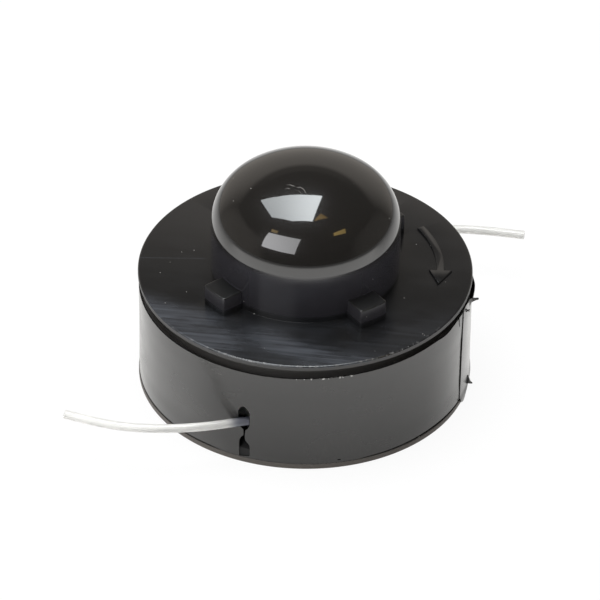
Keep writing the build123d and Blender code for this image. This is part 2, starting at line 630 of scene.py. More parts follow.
@dataclass(frozen=True)
class MouldedBlack:
    """Black moulded plastic: a polished button and hub over a satin flange with rub streaks and a painted
    sheen.
    """

    colour: Triple = (0.006, 0.006, 0.0063)
    hub_colour: Triple = (0.032, 0.0306, 0.036)
    button_colour: Triple = (0.0112, 0.0102, 0.0092)
    # Rub streaks with a painted sheen on them
    rub_and_sheen_colour: Triple = (0.065, 0.071, 0.083)
    side_colour: Triple = (0.018, 0.0175, 0.017)
    # Painted light in the groove under the upper lip
    groove_painted_light_colour: Triple = (0.062, 0.058, 0.054)
    # Painted light on the lowest lip's face
    foot_painted_light_colour: Triple = (0.066, 0.055, 0.045)
    edge_nick_and_glint_colour: Triple = (0.12, 0.12, 0.12)
    speck_colour: Triple = (0.45, 0.44, 0.42)
    ior: float = 1.58
    specular: float = 0.7
    polished: float = 0.04
    hub_satin: float = 0.14
    lug_satin: float = 0.30
    lug_top_satin: float = 0.28
    side_satin: float = 0.6
    seat_satin: float = 1.0
    flange_satin: Range = ((0.3, 0.19), (0.7, 0.24))
    haze: float = 0.18
    haze_spread: float = 0.3
    flange_level: Point = (22.2, 23.0)
    polish: Point = (29.7, 31.6)
    side_head: Point = (21.15, 21.4)
    groove_foot: Point = (17.3, 17.5)
    groove_head: Point = (20.6, 20.7)
    seat_foot: Point = (1.04, 1.12)
    seat_head: Point = (2.95, 3.05)
    lowest: Point = (1.02, 1.12)
    lug_root: Point = (16.15, 16.35)
    lug_top: Point = (24.9, 25.0)
    streak_turn: float = 8.0
    streak_grain: Triple = (0.08, 2.0, 0.3)
    streak_range: Range = ((0.28, 0.40), (0.72, 1))
    patch_grain: Triple = (0.10, 0.20, 0.1)
    patch_range: Range = ((0.30, 0.3), (0.60, 1))
    rub_and_sheen_front: Point = (-24.0, -17.5)
    rub_and_sheen_slant: float = 0.45
    rub_and_sheen_haze: Range = ((-17.5 * MM, 0.24), (-10.5 * MM, 0.04))
    scratch_level: float = 2.15
    scratch_end: Point = (-17.5, -16.5)
    scratch_range: Range = ((0.03 * MM, 0.4), (0.12 * MM, 0))
    edge_rim: Point = (28.08, 28.2)
    edge_head: Point = (21.3, 21.45)
    edge_front: Point = (-27.0, -12.0)
    edge_grain: Triple = (1.6, 1.6, 1.6)
    edge_range: Range = ((0.50, 0), (0.68, 1))
    scuff_middle: Triple = (-3.4, -8.2, 40.6)
    scuff_inner: Point = (2.7, 2.9)
    scuff_outer: Point = (4.3, 4.6)
    scuff_left: Point = (-4.0, -2.9)
    scuff_front: Point = (-7.0, -6.0)
    scuff_spacing: float = 0.75
    scuff_sway: float = 1.2
    scuff_sway_grain: Triple = (0.55, 0.55, 0.55)
    scuff_line: Range = ((0.02, 1), (0.09, 0))
    scuff_grain: Triple = (0.8, 0.8, 0.8)
    scuff_range: Range = ((0.42, 0), (0.58, 1))
    scuff_share: float = 0.5
    specks_per_mm: float = 0.42
    speck_size: float = 0.042
    grain: Triple = (5, 5, 5)
    grain_depth: float = 0.012
    grain_strength: float = 0.2

    def flange(self, sheet: NodeSheet, place: Socket) -> tuple[Socket, Socket]:
        """Makes the flange's rub streaks with their painted sheen, and its roughness.

        Args:
            sheet: Node sheet of the material.
            place: Socket of the object coordinates.

        Returns:
            Sockets of the share of rub streaks and painted sheen, and of the roughness.
        """
        x, y, _ = sheet.axes(place)
        streaks = sheet.noise(place, self.streak_grain, self.streak_turn)
        patches = sheet.noise(place, self.patch_grain, self.streak_turn)
        slant = sheet.math("MULTIPLY_ADD", x, self.rub_and_sheen_slant, y)
        near = sheet.math("MAXIMUM", sheet.fall(slant, *self.rub_and_sheen_front), sheet.ramp(y, *self.rub_and_sheen_haze))
        lines = sheet.ramp(streaks, *self.streak_range)
        # Painted sheen: the rub streaks are tinted lighter and bluer, mostly on the flange's front crescent
        rub_and_sheen = sheet.product(lines, sheet.ramp(patches, *self.patch_range), near)
        across = sheet.math("ABSOLUTE", sheet.math("SUBTRACT", y, self.scratch_level * MM))
        thin = sheet.ramp(across, *self.scratch_range)
        scratched = sheet.product(thin, sheet.fall(x, *self.scratch_end))
        return sheet.math("MAXIMUM", rub_and_sheen, scratched), sheet.ramp(patches, *self.flange_satin)

    def scuffs(self, sheet: NodeSheet, place: Socket) -> Socket:
        """Makes the fine scuffs on top of the button.

        Args:
            sheet: Node sheet of the material.
            place: Socket of the object coordinates.

        Returns:
            Socket of the scuffed share.
        """
        x, y, _ = sheet.axes(place)
        away = sheet.vector("DISTANCE", place, Vector(self.scuff_middle) * MM).outputs["Value"]
        sway = sheet.product(sheet.noise(place, self.scuff_sway_grain, detail=2.0), self.scuff_sway * MM)
        turns = sheet.math("DIVIDE", sheet.math("ADD", away, sway), self.scuff_spacing * MM)
        return sheet.product(
            sheet.ramp(sheet.math("PINGPONG", turns, 0.5), *self.scuff_line),
            sheet.ramp(sheet.noise(place, self.scuff_grain, detail=2.0), *self.scuff_range),
            sheet.rise(away, *self.scuff_inner),
            sheet.fall(away, *self.scuff_outer),
            sheet.rise(x, *self.scuff_left),
            sheet.rise(y, *self.scuff_front),
        )

    def edges(self, sheet: NodeSheet, place: Socket) -> Socket:
        """Makes the pale nick marks on the front of the upper lip's edge, with painted glints among them.

        Args:
            sheet: Node sheet of the material.
            place: Socket of the object coordinates.

        Returns:
            Socket of the share of nick marks and painted glints.
        """
        _, y, z = sheet.axes(place)
        return sheet.product(
            sheet.rise(sheet.radius(place), *self.edge_rim),
            sheet.rise(z, *self.edge_head),
            sheet.fall(y, *self.edge_front),
            sheet.ramp(sheet.noise(place, self.edge_grain), *self.edge_range),
        )

    def build(self) -> Material:
        """Makes the material.

        Returns:
            The material for the spool moulding.
        """
        material, sheet, shader = new_material("moulded_black")
        place = sheet.place()
        z = sheet.axes(place)[2]
        button = sheet.rise(z, *self.polish)
        on_flange = sheet.fall(z, *self.flange_level)
        side = sheet.fall(z, *self.side_head)
        groove = sheet.product(sheet.rise(z, *self.groove_foot), sheet.fall(z, *self.groove_head))
        seat = sheet.product(sheet.rise(z, *self.seat_foot), sheet.fall(z, *self.seat_head))
        lowest = sheet.fall(z, *self.lowest)
        lug = sheet.rise(sheet.radius(place), *self.lug_root)
        lug_level = sheet.rise(z, *self.lug_top)
        flat = sheet.math("MAXIMUM", on_flange, sheet.product(lug, lug_level))
        rub_and_sheen, flange_satin = self.flange(sheet, place)
        scuffed = sheet.product(self.scuffs(sheet, place), self.scuff_share)
        light = sheet.math("MAXIMUM", sheet.specks(place, self.specks_per_mm, self.speck_size), scuffed)

        tone = sheet.tint(button, self.hub_colour, self.button_colour)
        for share, colour in (
            (flat, self.colour),
            # Rub streaks with a painted sheen, lighter and bluer on the flange's front
            (sheet.product(rub_and_sheen, on_flange), self.rub_and_sheen_colour),
            (side, self.side_colour),
            # Painted light: the groove under the upper lip is coloured a lighter warm grey than its shade
            # leaves it
            (groove, self.groove_painted_light_colour),
            # Painted shade: the seat behind the film is coloured the darkest black, darker than the other
            # sides
            (seat, self.colour),
            # Painted light: the lowest lip's face is coloured a lighter warm grey than the plastic
            (lowest, self.foot_painted_light_colour),
            # Nick marks with painted glints on the front of the upper lip's edge
            (self.edges(sheet, place), self.edge_nick_and_glint_colour),
            (light, self.speck_colour),
        ):
            tone = sheet.tint(share, tone, colour)
        sheet.link(tone, shader.inputs["Base Color"])

        dry = sheet.mix(seat, self.side_satin, self.seat_satin)
        hub = sheet.mix(lug, self.hub_satin, sheet.mix(lug_level, self.lug_satin, self.lug_top_satin))
        satin = sheet.mix(on_flange, hub, sheet.mix(side, flange_satin, dry))
        sheet.link(sheet.mix(button, satin, self.polished), shader.inputs["Roughness"])
        grain = sheet.product(sheet.noise(place, self.grain, detail=2.0), on_flange)
        sheet.link(sheet.relief(grain, self.grain_depth, self.grain_strength), shader.inputs["Normal"])
        sheet.link(sheet.product(button, self.haze), shader.inputs["Coat Weight"])
        shader.inputs["Coat Roughness"].default_value = self.haze_spread
        shader.inputs["IOR"].default_value = self.ior
        shader.inputs["Specular IOR Level"].default_value = self.specular
        return material


@dataclass(frozen=True)
class BlackFilm:
    """Smooth black film, a little slack on its rims."""

    colour: Triple = (0.015, 0.0145, 0.0138)
    dusty_colour: Triple = (0.021, 0.020, 0.019)
    nick_and_glint_colour: Triple = (0.62, 0.61, 0.58)
    ior: float = 1.58
    specular: float = 0.62
    roughness: Range = ((0.3, 0.20), (0.7, 0.29))
    cloud_grain: Triple = (0.10, 0.10, 0.16)
    cloud_range: Range = ((0.35, 0), (0.7, 1))
    dust_grain: Triple = (2.5, 2.5, 0.6)
    dust_range: Range = ((0.45, 0), (0.75, 1))
    slack_grain: Triple = (0.09, 0.09, 0.04)
    slack_depth: float = 0.5
    slack_strength: float = 0.3
    nick_level: Point = (18.62, 18.80)
    nick_front: Point = (-26.0, -24.0)
    nick_left: Point = (-3.5, -2.5)
    nick_right: Point = (7.5, 8.5)
    nick_grain: Triple = (2.6, 2.6, 0.5)
    nick_range: Range = ((0.54, 0), (0.64, 1))

    def nicks_and_glints(self, sheet: NodeSheet, place: Socket) -> Socket:
        """Makes the pale nick marks along the front of the cut top edge, with painted glints among them.

        Args:
            sheet: Node sheet of the material.
            place: Socket of the object coordinates.

        Returns:
            Socket of the share of nick marks and painted glints.
        """
        x, y, z = sheet.axes(place)
        return sheet.product(
            sheet.rise(z, *self.nick_level),
            sheet.fall(y, *self.nick_front),
            sheet.rise(x, *self.nick_left),
            sheet.fall(x, *self.nick_right),
            sheet.ramp(sheet.noise(place, self.nick_grain, detail=1.0), *self.nick_range),
        )

    def build(self) -> Material:
        """Makes the material.

        Returns:
            The material for the band.
        """
        material, sheet, shader = new_material("black_film")
        place = sheet.place()
        clouds = sheet.noise(place, self.cloud_grain)
        fine = sheet.ramp(sheet.noise(place, self.dust_grain), *self.dust_range)
        dusty = sheet.product(fine, sheet.ramp(clouds, *self.cloud_range))
        tone = sheet.tint(dusty, self.colour, self.dusty_colour)
        # Nick marks with painted glints along the front of the top edge
        tone = sheet.tint(self.nicks_and_glints(sheet, place), tone, self.nick_and_glint_colour)
        sheet.link(tone, shader.inputs["Base Color"])
        sheet.link(sheet.ramp(clouds, *self.roughness), shader.inputs["Roughness"])
        slack = sheet.noise(place, self.slack_grain, detail=1.0)
        sheet.link(sheet.relief(slack, self.slack_depth, self.slack_strength), shader.inputs["Normal"])
        shader.inputs["IOR"].default_value = self.ior
        shader.inputs["Specular IOR Level"].default_value = self.specular
        return material


@dataclass(frozen=True)
class ClearNylon:
    """Natural nylon line, milky and half clear, shaded where it comes out of a slot."""

    colour: Triple = (0.87, 0.87, 0.85)
    milky_colour: Triple = (0.93, 0.93, 0.91)
    shaded_colour: Triple = (0.18, 0.19, 0.235)
    ior: float = 1.53
    roughness: float = 0.35
    clearness: float = 0.46
    cloud_grain: Triple = (0.25, 0.25, 0.25)
    cloud_range: Range = ((0.35, 0), (0.65, 1))
    fine_grain: Triple = (1.5, 1.5, 1.5)
    fine_depth: float = 0.03
    fine_strength: float = 0.15
    slot_place: Triple = (9.6, 26.4, 8.2)
    slot_reach: Point = (1.1, 3.8)

    def build(self) -> Material:
        """Makes the material.

        Returns:
            The material for the lines.
        """
        material, sheet, shader = new_material("clear_nylon")
        place = sheet.place()
        clouds = sheet.noise(place, self.cloud_grain, detail=2.0)
        fine = sheet.noise(place, self.fine_grain, detail=2.0)
        natural = sheet.tint(sheet.ramp(clouds, *self.cloud_range), self.colour, self.milky_colour)
        mirrored = sheet.vector("ABSOLUTE", place).outputs["Vector"]
        away = sheet.vector("DISTANCE", mirrored, Vector(self.slot_place) * MM).outputs["Value"]
        shaded = sheet.fall(away, *self.slot_reach)
        sheet.link(sheet.tint(shaded, natural, self.shaded_colour), shader.inputs["Base Color"])
        sheet.link(sheet.relief(fine, self.fine_depth, self.fine_strength), shader.inputs["Normal"])
        shader.inputs["Roughness"].default_value = self.roughness
        shader.inputs["IOR"].default_value = self.ior
        shader.inputs["Transmission Weight"].default_value = self.clearness
        return material


@dataclass
class SpoolMoulding:
    """The one-piece moulding: domed button, hub, lugs, flanges and drum."""

    flange_radius: float
    button_top: float
    lower_flange_inset: float = 0.05
    reel_height: float = 21.55
    flange_wall: float = 1.8
    upper_lip: float = 0.9
    lower_lip: float = 1.1
    lip_rounding: float = 0.3
    lip_steps: int = 5
    mouth_steps: int = 4
    edge_rounding: float = 0.12
    edge_steps: int = 3
    seat_recess: float = 0.4
    skirt_width: float = 2.8
    neck_recess: float = 1.7
    upper_seat_top: float = 17.6
    upper_skirt_foot: float = 16.1
    lower_skirt_rise: float = 2.8
    hub_radius: float = 16.1
    hub_wall: float = 1.9
    hub_root_rounding: float = 0.02
    hub_ring: float = 0.06
    crown_radius: float = 20.8
    crown_steps: int = 28
    shoulder_radius: float = 8.9
    shoulder_steps: int = 18
    lug_bearing: float = -50.4
    lug_spacing: float = 86.1
    lug_reach: float = 20.0
    lug_width: float = 5.35
    lug_height: float = 3.6
    lug_sunk: float = 0.4
    lug_corner: float = 0.3
    lug_corner_steps: int = 4
    lug_rounding: float = 0.22
    lug_rounding_steps: int = 3
    lug_sharp: float = 0.5
    lug_cuts: int = 9
    spigot_radius: float = 4.5
    spigot_bore: float = 3.0
    spigot_foot: float = 31.5
    anchor_hole: float = 2.2
    anchor_sides: int = 32
    anchor_bearing: float = 115.0
    anchor_height: float = 3.3
    arrow_radius: float = 23.0
    arrow_width: float = 1.3
    arrow_tail: float = 121.0
    arrow_neck: float = 88.0
    arrow_tip: float = 78.0
    arrow_head: float = 3.9
    arrow_relief: float = 0.35
    arrow_rounding: float = 0.15
    arrow_rounding_steps: int = 2
    arrow_steps: int = 24
    steps: int = 256
    smooth_angle: float = 32.0

    @property
    def crown_centre(self) -> float:
        """Height of the crown's centre."""
        return self.button_top - self.crown_radius

    @property
    def shoulder_centre(self) -> Point:
        """Gives the centre of the shoulder arc.

        Returns:
            Its radius and height.
        """
        radius = self.hub_radius - self.shoulder_radius
        rise = math.sqrt((self.crown_radius - self.shoulder_radius) ** 2 - radius**2)
        return radius, self.crown_centre + rise

    def button(self, inset: float, stop: float) -> list[Point]:
        """Gives the button's section from the crown to the hub.

        Args:
            inset: Distance inside the outer skin.
            stop: Radius at which the crown starts.

        Returns:
            Points from the crown outwards and down.
        """
        radius, height = self.shoulder_centre
        turn = math.degrees(math.atan2(radius, height - self.crown_centre))
        crown = self.crown_radius - inset
        start = math.degrees(math.asin(stop / crown))
        points = arc((0, self.crown_centre), crown, start, turn, self.crown_steps)
        shoulder = arc((radius, height), self.shoulder_radius - inset, turn, 90, self.shoulder_steps)
        return points + shoulder[1:]

    def outside(self) -> list[Point]:
        """Gives the outer section.

        Returns:
            Points from the crown to the base.
        """
        seat = self.flange_radius - self.seat_recess
        skirt = seat - self.skirt_width
        lower = self.flange_radius - self.lower_flange_inset
        ceiling = self.reel_height - self.flange_wall
        root, lip, edge = self.hub_root_rounding, self.lip_rounding, self.edge_rounding
        lip_foot = self.reel_height - self.upper_lip
        neck = self.flange_radius - self.neck_recess
        fine, coarse = self.lip_steps, self.edge_steps
        points = self.button(0.0, 0.0)

        # A ring near each end of the hub's wall keeps its shading upright
        points += [(self.hub_radius, points[-1][1] - self.hub_ring)]
        points += [(self.hub_radius, self.reel_height + root + self.hub_ring)]
        points += arc((self.hub_radius + root, self.reel_height + root), root, 270, 180, fine)
        points += arc((self.flange_radius - lip, self.reel_height - lip), lip, 0, 90, fine)
        points += arc((self.flange_radius - edge, lip_foot + edge), edge, 90, 180, coarse)
        points += [(neck, lip_foot), (neck, self.upper_seat_top)]
        points += arc((seat - edge, self.upper_seat_top - edge), edge, 0, 90, coarse)
        points += arc((seat - edge, self.upper_skirt_foot + edge), edge, 90, 180, coarse)
        points += [(skirt, self.upper_skirt_foot), (skirt, ceiling), (self.hub_radius, ceiling)]
        points += [(self.hub_radius, self.flange_wall), (skirt, self.flange_wall)]
        points += [(skirt, self.lower_skirt_rise)]
        points += arc((seat - edge, self.lower_skirt_rise - edge), edge, 0, 90, coarse)
        points += [(seat, self.lower_lip)]
        points += arc((lower - edge, self.lower_lip - edge), edge, 0, 90, coarse)
        return points + arc((lower - lip, lip), lip, 90, 180, fine)

    def inside(self) -> list[Point]:
        """Gives the section of the hollow.

        Returns:
            Points from the base to the crown.
        """
        bore = self.hub_radius - self.hub_wall
        lip = self.lip_rounding
        mouth = arc((bore + lip, lip), lip, 180, 270, self.mouth_steps)
        dome = self.button(self.hub_wall, self.spigot_radius)[::-1]
        core = self.crown_radius - self.hub_wall
        seat = self.crown_centre + math.sqrt(core**2 - self.spigot_bore**2)
        spigot = [(self.spigot_radius, self.spigot_foot), (self.spigot_bore, self.spigot_foot)]
        return mouth + dome + spigot + [(self.spigot_bore, seat), (0, self.crown_centre + core)]

    def lug(self, bearing: float) -> Piece:
        """Models one index lug, sunk a little into the hub and the flange.

        Args:
            bearing: Bearing of its middle.

        Returns:
            The lug as a mesh object.
        """
        root = self.hub_radius - 2 * self.lug_sunk
        centre = self.reel_height + (self.lug_height - self.lug_sunk) / 2
        middle = Vector(((self.lug_reach + root) / 2, 0, centre)) * MM
        lug = primitive("lug", bpy.ops.mesh.primitive_cube_add, size=1, location=middle)
        lug.scale = Vector((self.lug_reach - root, self.lug_width, self.lug_height + self.lug_sunk)) * MM
        settle(lug)
        with editing(lug):
            select_edges(lug, lambda edge: abs(edge.verts[0].co.y - edge.verts[1].co.y) > MM)
            bpy.ops.mesh.subdivide(number_cuts=self.lug_cuts)
        reach = self.lug_reach * MM
        corner = self.lug_width / 2 * MM - TINY
        top = (self.reel_height + self.lug_height) * MM - TINY

        def rounded(place: Vector) -> Vector:
            """Puts a vertex of the outer face on the round end."""
            outer = place.x > middle.x
            return Vector((math.sqrt(reach**2 - place.y**2), place.y, place.z)) if outer else place

        def on_corner(edge: bmesh.types.BMEdge) -> bool:
            """Tells whether an edge is an upright outer corner."""
            return all(vertex.co.x > middle.x and abs(vertex.co.y) > corner for vertex in edge.verts)

        def on_top(edge: bmesh.types.BMEdge) -> bool:
            """Tells whether an edge is a sharp one round the top."""
            reach_out, reach_up = (max(vertex.co[axis] for vertex in edge.verts) for axis in (0, 2))
            return edge.calc_face_angle(0) > self.lug_sharp and reach_up > top and reach_out > middle.x

        place_vertices(lug, rounded)
        for wanted, offset, segments in (
            (on_corner, self.lug_corner, self.lug_corner_steps),
            (on_top, self.lug_rounding, self.lug_rounding_steps),
        ):
            with editing(lug):
                select_edges(lug, wanted)
                bpy.ops.mesh.bevel(offset=offset * MM, segments=segments, affect="EDGES")
        lug.rotation_euler.z = math.radians(bearing - 90)
        settle(lug)
        return lug

    def arrow(self) -> Piece:
        """Models the raised winding arrow on the flange.

        Returns:
            The arrow as a mesh object, sunk a little into the flange.
        """
        level = self.reel_height - self.arrow_relief
        run = (self.arrow_neck - self.arrow_tail) / self.arrow_steps
        bearings = [self.arrow_tail + run * i for i in range(self.arrow_steps + 1)]
        inner = [on_bearing(self.arrow_radius - self.arrow_width / 2, b, level) for b in bearings]
        outer = [on_bearing(self.arrow_radius + self.arrow_width / 2, b, level) for b in bearings]
        head = [
            on_bearing(self.arrow_radius + self.arrow_head / 2, self.arrow_neck, level),
            on_bearing(self.arrow_radius, self.arrow_tip, level),
            on_bearing(self.arrow_radius - self.arrow_head / 2, self.arrow_neck, level),
        ]
        arrow = prism("arrow", outer + head + inner[::-1], Vector((0, 0, 2 * self.arrow_relief * MM)))
        top = (level + 2 * self.arrow_relief) * MM - TINY
        with editing(arrow):
            select_edges(arrow, lambda edge: all(vertex.co.z > top for vertex in edge.verts))
            sizes = {"offset": self.arrow_rounding * MM, "segments": self.arrow_rounding_steps}
            bpy.ops.mesh.bevel(affect="EDGES", **sizes)
        return arrow

    def anchor(self, bearing: float) -> Piece:
        """Models the cutter of the hole that holds a line's inner end.

        Args:
            bearing: Bearing of the hole.

        Returns:
            The cutter as a mesh object.
        """
        return primitive(
            "anchor",
            bpy.ops.mesh.primitive_cylinder_add,
            vertices=self.anchor_sides,
            radius=self.anchor_hole / 2 * MM,
            depth=3 * self.hub_wall * MM,
            location=on_bearing(self.hub_radius, bearing, self.anchor_height),
            rotation=(math.radians(90), 0, math.radians(bearing)),
        )

    def build(self, material: Material) -> Piece:
        """Models and dresses the moulding.

        Args:
            material: The plastic.

        Returns:
            The finished piece.
        """
        spool = spun("spool_moulding", self.outside() + self.inside(), self.steps)
        for bearing in (self.lug_bearing, self.lug_bearing + self.lug_spacing):
            for turn in (0, 180):
                work_in(spool, self.lug(bearing + turn), Operation.ADD)
        work_in(spool, self.arrow(), Operation.ADD)
        for turn in (0, 180):
            work_in(spool, self.anchor(self.anchor_bearing + turn), Operation.CUT)
        activate(spool)
        bpy.ops.object.shade_smooth_by_angle(angle=math.radians(self.smooth_angle))
        spool.data.materials.append(material)
        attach(spool, BODY)
        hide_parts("spool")
        return spool


@dataclass
class CuttingLine:
    """One length of line: its turns on the drum and its free end."""

    name: str
    route: list[Triple]
    nodes: tuple[str, ...]
    diameter: float = 1.5
    length: float = 2470.0
    drum_radius: float = 16.15
    layer_count: int = 4
    low: float = 3.275
    high: float = 18.275
    turns_to_layer: int = 5
    last_turns: float = 3.264
    step_up: float = 0.5
    points_to_turn: int = 16
    runs: int = 6

    def layer_radius(self, layer: float) -> float:
        """Middle of a layer's line from the spool axis."""
        return self.drum_radius + self.diameter * (layer + 0.5)

    def lay(self) -> list[Stage]:
        """Gives the winding's stages.

        Returns:
            For each stage its turns, and the layer and height at its start and end.
        """
        stages = []
        for layer in range(self.layer_count):
            start, end = (self.low, self.high) if layer % 2 == 0 else (self.high, self.low)
            turns = self.turns_to_layer
            if layer == self.layer_count - 1:
                end, turns = self.route[0][2], self.last_turns
            stages.append((turns, layer, start, layer, end))
            stages.append((self.step_up, layer, end, layer + 1, end))
        return stages

    def turns(self) -> list[Vector]:
        """Gives the control points of the wound turns.

        Returns:
            Points from the drum to the last turn, which ends on the route's first point.
        """
        stages = self.lay()
        total = sum(stage[0] for stage in stages)
        first = Vector(self.route[0])
        leave = math.degrees(math.atan2(first.x, -first.y))
        step = 1 / self.points_to_turn
        widening = 1 / math.cos(math.pi / self.points_to_turn)
        points = []
        for index in range(int(total / step)):
            along = index * step
            bearing = leave + 360 * (total - along)
            for turns, layer, low, next_layer, high in stages:
                if along <= turns:
                    break
                along -= turns
            share = along / turns
            layer += (next_layer - layer) * share
            height = low + (high - low) * share
            points.append(on_bearing(self.layer_radius(layer) * widening, bearing, height))
        return points

    def build(self, material: Material) -> Piece:
        """Lays and dresses the line.

        Args:
            material: The nylon.

        Returns:
            The finished cord.
        """
        points = self.turns() + [Vector(point) * MM for point in self.route]
        line = nurbs(self.name, points, [self.diameter / 2] * len(points), self.runs)
        line.data.materials.append(material)
        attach(line, BODY)
        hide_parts(*self.nodes)
        return line


@dataclass
class FilmBand:
    """The film wrapped round both rims, with its lap, slots and torn burrs.

    A rise or fall along the band is given by its height, its middle bearing and its spread, and a ripple by
    its height, its pitch in degrees and its seed.
    """

    inner_radius: float = 28.15
    film: float = 0.2
    bottom: float = 1.2
    top: float = 18.9
    lower_lip: float = 1.1
    top_sway: float = 0.34
    top_sway_bearing: float = 5.0
    top_fall: Triple = (-0.35, 57.5, 4.5)
    top_fall_end: float = 64.0
    top_wave: Triple = (0.07, 21, 3.1)
    top_nicks: Triple = (0.04, 1.7, 7.4)
    foot_gap: float = 0.02
    foot_rises: tuple[Triple, ...] = ((0.12, -72, 38), (0.25, 50, 16))
    foot_wave: Triple = (0.06, 18, 1.7)
    front_foot: float = 1.106
    front_left: Point = (-34.0, -27.0)
    front_right: Point = (24.0, 17.0)
    free_foot: Point = (2.6, 5.5)
    free_head: Point = (16.4, 13.0)
    slack: float = 0.05
    slack_pitch: Point = (20.0, 9.0)
    dent: float = 0.10
    dent_side: Point = (1.0, -2.0)
    dent_place: Point = (-1.4, 8.0)
    dent_level: Point = (8.7, 3.8)
    slot_bearing: float = -20.6
    slot_feet: Point = (1.12, 1.55)
    slot_foot: Outline = ((-0.82, 0.0), (1.05, 0.35))
    slot_right: Outline = ((1.08, 3.1), (1.0, 3.8), (0.5, 4.3), (0.22, 4.7), (0.16, 5.6), (0.25, 6.7))
    slot_upper_right: Outline = ((0.7, 7.1), (1.0, 7.9), (1.05, 9.2), (1.0, 10.4), (0.7, 10.95), (0.15, 11.5))
    slot_upper_left: Outline = ((-0.3, 11.6), (-0.95, 10.9), (-1.12, 10.2), (-1.08, 9.2), (-1.0, 8.0))
    slot_left: Outline = ((-0.65, 7.2), (-0.1, 6.75), (-0.08, 5.6), (-0.5, 5.15), (-0.84, 4.4), (-0.84, 3.0))
    slot_depth: float = 2.0
    slot_rounding: float = 0.1
    tear_bearing: float = 67.0
    tear: Outline = ((-0.5, 19.9), (0.05, 19.9), (0.2, 18.3), (0.45, 17.1), (0.15, 17.4), (-0.12, 18.4))
    nick_bearing: float = 12.3
    nick: Outline = ((-0.35, 1.62), (0.1, 1.5), (0.4, 1.52), (0.3, 1.72), (-0.1, 1.78))
    line_clearance: float = 0.15
    bore_runs: int = 12
    lap_start: float = 70.8
    lap_end: float = 104.5
    lap_slant: float = 1.3
    lap_tears: tuple[Triple, ...] = ((0.25, 7, 2.2), (0.1, 27, 5.2))
    lap_tear_row: float = 0.4
    lap_crowding: float = 1.25
    lap_thickness: float = 0.1
    lap_gap: float = 0.03
    lap_tongue: Triple = (-1.18, 72.5, 3.6)
    lap_peak: float = 0.5
    lap_peak_side: Point = (78.0, 73.0)
    lap_nicks: Triple = (0.22, 0.8, 4)
    lap_nicks_end: Point = (84.0, 80.0)
    lap_over_lip: float = 0.22
    lap_over_lip_rise: float = 0.5
    lap_tuck: float = 0.18
    lap_tuck_from: float = 0.9
    lap_steps: int = 110
    flare: float = 0.5
    flare_start: Point = (78.5, 80.0)
    flare_end: Point = (96.0, 86.0)
    flare_height: Point = (16.8, 19.0)
    flare_power: float = 1.3
    hook_bearing: float = 80.0
    hook_thickness: float = 0.25
    hook_under: Outline = ((28.5, 17.9), (29.0, 18.4), (29.5, 18.75), (29.9, 18.9))
    hook_over: Outline = ((29.95, 19.1), (29.75, 19.16), (29.2, 19.05), (28.8, 19.1))
    tab_bearing: float = 79.5
    tab_thickness: float = 0.3
    tab_under: Outline = ((28.5, 1.2), (29.0, 1.2), (29.4, 1.25), (29.05, 1.55))
    tab_over: Outline = ((28.85, 2.1), (28.6, 2.8), (28.45, 2.7))
    scrap_rounding: float = 0.04
    thread: tuple[Triple, ...] = (
        (28.6, 73.0, 18.68),
        (28.85, 74.2, 18.7),
        (28.9, 75.4, 18.3),
        (28.7, 76.2, 17.8),
    )
    thread_radii: tuple[float, ...] = (0.1, 0.1, 0.14, 0.2)
    thread_runs: int = 6
    ring_steps: int = 480
    rows: int = 48
    smooth_angle: float = 40.0

    def top_edge(self, bearing: float) -> float:
        """Gives the height of the uneven top edge.

        Args:
            bearing: Bearing on the band.

        Returns:
            The height there.
        """
        sway = self.top_sway * math.sin(math.radians(bearing - self.top_sway_bearing))
        torn = swell(bearing, *self.top_fall) * (bearing < self.top_fall_end)
        return self.top + sway + torn + ripple(bearing, *self.top_wave) + ripple(bearing, *self.top_nicks)

    def bottom_edge(self, bearing: float) -> float:
        """Gives the height of the uneven bottom edge.

        Args:
            bearing: Bearing on the band.

        Returns:
            The height there.
        """
        lifted = sum(swell(bearing, *rise) for rise in self.foot_rises)
        wave = self.foot_wave[0] + ripple(bearing, *self.foot_wave)
        free = self.bottom + self.foot_gap + lifted + wave
        front = smooth_step(*self.front_left, bearing) * smooth_step(*self.front_right, bearing)
        return free + (self.front_foot - free) * front

    def sag(self, bearing: float, height: float) -> float:
        """Tells how far the film lies inside its round form.

        Args:
            bearing: Bearing on the band.
            height: Height on the band.

        Returns:
            The distance inwards.
        """
        free = smooth_step(*self.free_foot, height) * smooth_step(*self.free_head, height)
        along, up = self.slack_pitch
        slack = self.slack * (1 + noise.noise(Vector((bearing / along, height / up, 0.6))))
        inner, outer = self.dent_side
        aside, spread = self.dent_place
        dents = 0.0
        for slot in (self.slot_bearing, self.slot_bearing + 180):
            side = smooth_step(slot + inner, slot + outer, bearing)
            dents += side * swell(bearing, self.dent, slot + aside, spread)
        return free * (dents * swell(height, 1.0, *self.dent_level) + slack)

    def ring(self) -> Piece:
        """Models the film's full turn.

        Returns:
            The ring as a mesh object.
        """
        span = self.top - self.bottom
        ring = primitive(
            "film_band",
            bpy.ops.mesh.primitive_cylinder_add,
            vertices=self.ring_steps,
            radius=(self.inner_radius + self.film) * MM,
            depth=span * MM,
            end_fill_type="NOTHING",
            location=(0, 0, (self.bottom + self.top) / 2 * MM),
        )
        settle(ring)
        with editing(ring):
            select_edges(ring, lambda edge: abs(edge.verts[0].co.z - edge.verts[1].co.z) > MM)
            bpy.ops.mesh.subdivide(number_cuts=self.rows - 1)

